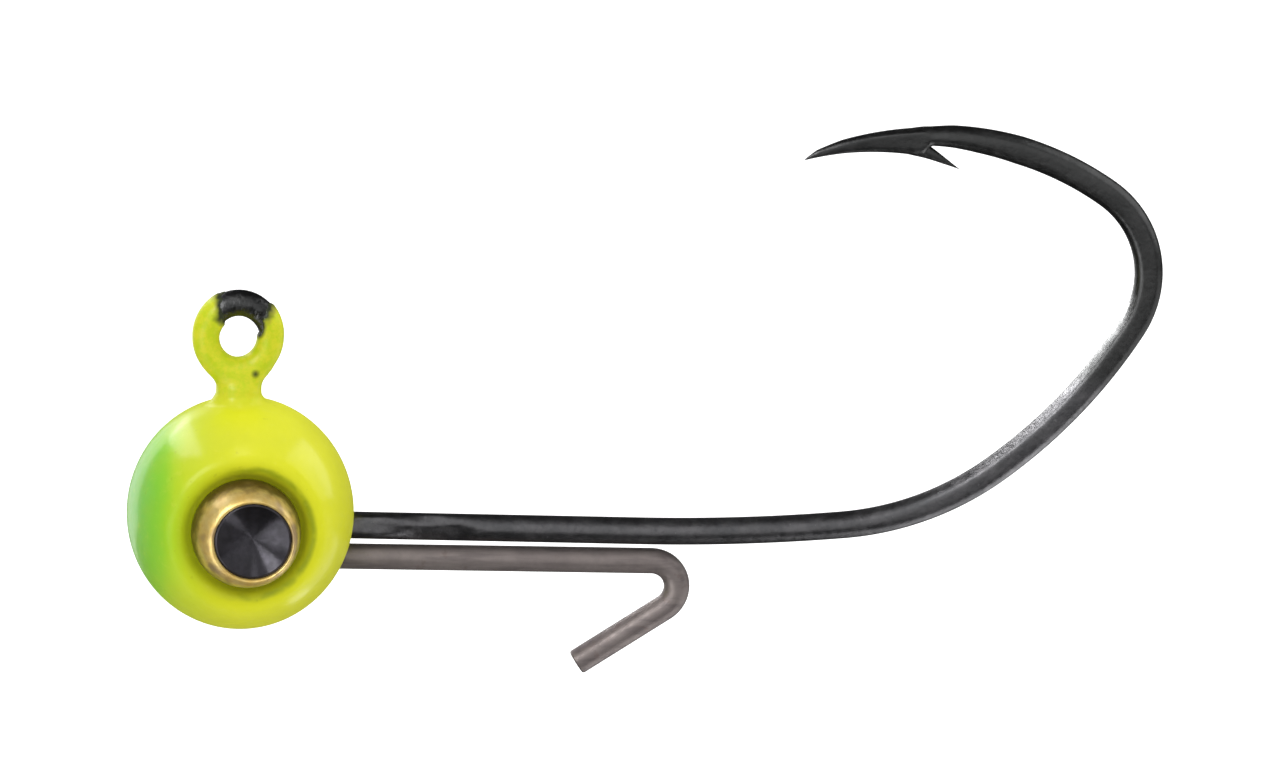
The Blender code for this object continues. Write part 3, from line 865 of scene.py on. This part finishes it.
def build_skin(material):
    skin = bpy.data.objects.new("paint_skin", skin_blank())
    bpy.context.scene.collection.objects.link(skin)
    remesh = skin.modifiers.new("remesh", "REMESH")
    remesh.mode = "VOXEL"
    remesh.voxel_size = VOXEL * MM
    apply_modifiers(skin)
    mesh = skin.data
    p = np.empty(len(mesh.vertices) * 3)
    mesh.vertices.foreach_get("co", p)
    p = p.reshape(-1, 3) / MM
    p = settled(p, None, 10)
    near_loop = np.where(p[:, 2] > -1.7)[0]
    bare = np.full(len(p), -1.0)
    bare[near_loop] = bareness(p[near_loop])
    p = settled(p, bare, 4)
    mesh.vertices.foreach_set("co", (p * MM).ravel())
    thin = mesh.attributes.new("thin", "FLOAT", "POINT")
    thin.data.foreach_set("value", np.clip(1.0 + bare / THIN_PAINT, 0.0, 1.0))
    across = np.hypot(p[:, 0] - BALL_X, p[:, 2] - BALL_Z)
    # The foot attribute carries the painted shade at the eye's foot
    foot = mesh.attributes.new("foot", "FLOAT", "POINT")
    foot.data.foreach_set("value", np.clip((FOOT_SHADE_RADIUS - across) / FOOT_SHADE_FADE, 0.0, 1.0))
    mesh.shade_smooth()
    mesh.materials.append(material)
    mesh.update()
    place(skin, "paint", "paint_coat")


# ---------------------------------------------------------------- eyes


def eye_profile():
    shoulder = EYE_FOOT + 0.15
    width, height = EYE_RADIUS - EYE_LIP, EYE_TOP - shoulder
    # The dome is between a cone (exponent 2) and a quarter round (exponent 1)
    turns = np.radians(np.linspace(0, 90, 22))
    dome = zip(np.cos(turns).clip(0) ** 1.25, np.sin(turns) ** 1.25)
    outline = [(EYE_LIP + width * c, shoulder + height * s) for c, s in dome]
    lip = [
        (EYE_LIP - 0.04, EYE_TOP - 0.015),
        (EYE_BORE + 0.01, EYE_TOP - 0.05),
        (EYE_BORE, EYE_TOP - 0.09),
    ]
    foot = [(EYE_BORE, EYE_FOOT), (EYE_RADIUS - 0.03, EYE_FOOT), (EYE_RADIUS, EYE_FOOT + 0.03)]
    return foot + outline + lip


def pupil_profile():
    edge_drop = 0.06
    top = PUPIL_TOP - 0.02
    inner = PUPIL_RADIUS - PUPIL_EDGE
    back = [(0.001, EYE_FOOT + 0.02), (PUPIL_RADIUS, EYE_FOOT + 0.02), (PUPIL_RADIUS, PUPIL_TOP - 0.12)]
    rim = []
    for a in np.radians((90, 60, 30, 0)):
        rim.append((inner + PUPIL_EDGE * math.sin(a), top - edge_drop * (1 - math.cos(a))))
    shares = np.linspace(0.95, 0.0, 20)
    dish = [(inner * share, top - PUPIL_DISH * (1 - share**2)) for share in shares]
    return [*back, *rim, *dish[:-1], (0.001, dish[-1][1])]


def lip_shift(radius):
    """How far back the ring's centre moves at a radius: not at all at its foot, most at its lip."""
    return PUPIL_OFF_CENTRE * min(1.0, (EYE_RADIUS - radius) / (EYE_RADIUS - EYE_LIP))


def pupil_shift(radius):
    return PUPIL_OFF_CENTRE


def build_eyes(brass, black):
    steps = 96
    for side, facing in (("left", 1), ("right", -1)):
        ring = turned(f"brass_eye_{side}", eye_profile(), steps, facing, brass, lip_shift)
        place(ring, "eye_brass", f"eye_ring_{side}")
        pupil = turned(f"black_pupil_{side}", pupil_profile(), steps, facing, black, pupil_shift)
        place(pupil, "pupil_black", f"pupil_{side}")


# ---------------------------------------------------------------- stage, lights and camera


def view_axes():
    """The camera's right, up and back directions, before its roll."""
    a, e = CAMERA_AZIMUTH, CAMERA_ELEVATION
    right = Vector((math.cos(a), math.sin(a), 0.0))
    back = Vector((math.sin(a) * math.cos(e), -math.cos(a) * math.cos(e), math.sin(e)))
    return right, back.cross(right), back


def build_camera():
    right, up, back = view_axes()
    data = bpy.data.cameras.new("camera")
    data.lens = SENSOR * CAMERA_DISTANCE / FRAME_WIDTH
    data.sensor_width = SENSOR
    data.clip_start, data.clip_end = 0.01, 10.0
    camera = bpy.data.objects.new("camera", data)
    bpy.context.scene.collection.objects.link(camera)
    roll = CAMERA_ROLL
    tilted_right = right * math.cos(roll) + up * math.sin(roll)
    tilted_up = up * math.cos(roll) - right * math.sin(roll)
    target = Vector(BALL_CENTRE) + tilted_right * MIDDLE_RIGHT + tilted_up * MIDDLE_ABOVE
    turn = Matrix((tilted_right, tilted_up, back)).transposed().to_4x4()
    camera.matrix_world = Matrix.Translation((target + back * CAMERA_DISTANCE) * MM) @ turn
    bpy.context.scene.camera = camera


def panel(name, corner, along, across, radiance, towards=(0, 0, 0), colour=(1, 1, 1)):
    """A soft panel given by a corner and two edges, which faces towards a point.

    All four are millimetres right of the ball's centre, above it and in front of it, as the camera
    sees it before its roll. The panel shows in reflections only: the light on matt surfaces is the
    world's.
    """
    right, up, back = view_axes()
    in_view = (corner, along, across, towards)
    corner, along, across, towards = (right * v[0] + up * v[1] + back * v[2] for v in in_view)
    # Its second edge is turned square to its first
    across = across - along * (across.dot(along) / along.dot(along))
    middle = corner + (along + across) / 2
    facing = along.cross(across).normalized()
    if facing.dot(middle - towards) < 0:
        facing = -facing
    data = bpy.data.lights.new(name, "AREA")
    data.shape = "RECTANGLE"
    data.size, data.size_y = along.length * MM, across.length * MM
    data.energy = radiance * math.pi * data.size * data.size_y
    data.color = colour
    light = bpy.data.objects.new(name, data)
    side = along.normalized()
    turn = Matrix((side, facing.cross(side), facing)).transposed().to_4x4()
    light.matrix_world = Matrix.Translation((Vector(BALL_CENTRE) + middle) * MM) @ turn
    light.visible_camera = False
    light.visible_diffuse = False
    bpy.context.scene.collection.objects.link(light)
    return light


def build_lights():
    # The key hangs over the upper left, turned so that the hook's bend lies behind it
    panel("key", (-24.6, 33.5, 19.7), (-60, 34, -7), (10.7, -6, -64), 3.0, colour=(0.88, 0.84, 1.0))
    # Behind it a paler backdrop reaches round the back on the left
    panel("backdrop", (-64, -45, -200), (0, 295, 0), (-200, 0, 0), 1.25)
    # Dim panels stand on the right, below and above the hook
    panel("low", (40, -68, 20), (13, 13, 0), (0, 0, -80), 2.4)
    panel("low_right", (53, -55, 20), (37, 57, 0), (0, 0, -80), 0.8)
    panel("under_bend", (41, -19.8, 20), (26, -15, 0), (0, 0, -70), 2.1, towards=(30, 3, 0))
    panel("high_right", (84, 16, 30), (-30, 50, 0), (0, 0, -60), 1.5)
    # A wide one in front gives the wires their grey middles
    panel("front", (-260, -135, 240), (560, 0, 0), (0, 330, 0), 0.8)
    # These give the eye its highlights and its fans
    panel("window", (-117, -12, 228), (75, 68, 9.5), (-65, 80, -60), 6.5)
    panel("left", (-165, -250, 50), (-35, 200, 40), (120, 0, 130), 2.6)
    panel("left_low", (-10, -19.6, -5), (-57, -33, 0), (0, 0, 45), 0.6)
    panel("brass_top", (-6, 40, 46), (14, 0, 0), (0, 16, -14), 2.5)
    # A narrow one over the ball, edge-on to the shank, shows along the inside of the hook's bend
    panel("bend_wall", (-6, 22, 22), (-11.8, 16.2, 0), (0, 0, -120), 19.0, towards=(30, 5, 0))
    # A soft box overhead lights matt surfaces and shows in no reflection
    overhead = panel("overhead", (-340, 260, -300), (600, 0, 0), (0, 0, 600), 0.65)
    overhead.visible_diffuse = True
    overhead.visible_glossy = False


def build_world():
    """Even studio light, with a white surround for the camera and a greyer one in reflections."""
    world = bpy.data.worlds.new("studio")
    bpy.context.scene.world = world
    world.use_nodes = True
    nodes, links = world.node_tree.nodes, world.node_tree.links
    paths = nodes.new("ShaderNodeLightPath")
    out = nodes["World Output"]
    backgrounds = {}
    for name, level in (("seen", 1.0), ("light", 0.88), ("reflected", 0.05)):
        backgrounds[name] = nodes.new("ShaderNodeBackground")
        backgrounds[name].inputs["Color"].default_value = (1, 1, 1, 1)
        backgrounds[name].inputs["Strength"].default_value = level
    glossy = nodes.new("ShaderNodeMixShader")
    links.new(paths.outputs["Is Glossy Ray"], glossy.inputs[0])
    links.new(backgrounds["light"].outputs[0], glossy.inputs[1])
    links.new(backgrounds["reflected"].outputs[0], glossy.inputs[2])
    seen = nodes.new("ShaderNodeMixShader")
    links.new(paths.outputs["Is Camera Ray"], seen.inputs[0])
    links.new(glossy.outputs[0], seen.inputs[1])
    links.new(backgrounds["seen"].outputs[0], seen.inputs[2])
    links.new(seen.outputs[0], out.inputs["Surface"])


def build_floor():
    """A pale floor well below the jig head. Only the camera sees its slight glow."""
    signs = ((-1, -1), (1, -1), (1, 1), (-1, 1))
    corners = [(FLOOR_HALF * x, FLOOR_HALF * y, -FLOOR_BELOW) for x, y in signs]
    floor = mesh_object("floor", corners, [(0, 1, 2, 3)], None)
    n = Nodes("pale_floor")
    n.set("Base Color", (0.80, 0.80, 0.80, 1.0))
    n.set("Roughness", 0.9)
    n.set("Emission Color", (1, 1, 1, 1))
    seen = n.add("ShaderNodeLightPath").outputs["Is Camera Ray"]
    n.set("Emission Strength", n.span(seen, 0.0, 1.0, 0.0, 0.6))
    floor.data.materials.append(n.material)
    floor.visible_glossy = False


def build():
    bpy.context.scene.view_settings.view_transform = "Standard"
    build_camera()
    build_world()
    build_lights()
    build_floor()
    lead_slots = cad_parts["lead_head"].data.materials
    lead_slots.clear()
    lead_slots.append(lead_material())
    build_hook(hook_material())
    build_keeper(keeper_material())
    build_skin(paint_material())
    build_eyes(brass_material(), pupil_material())


build()
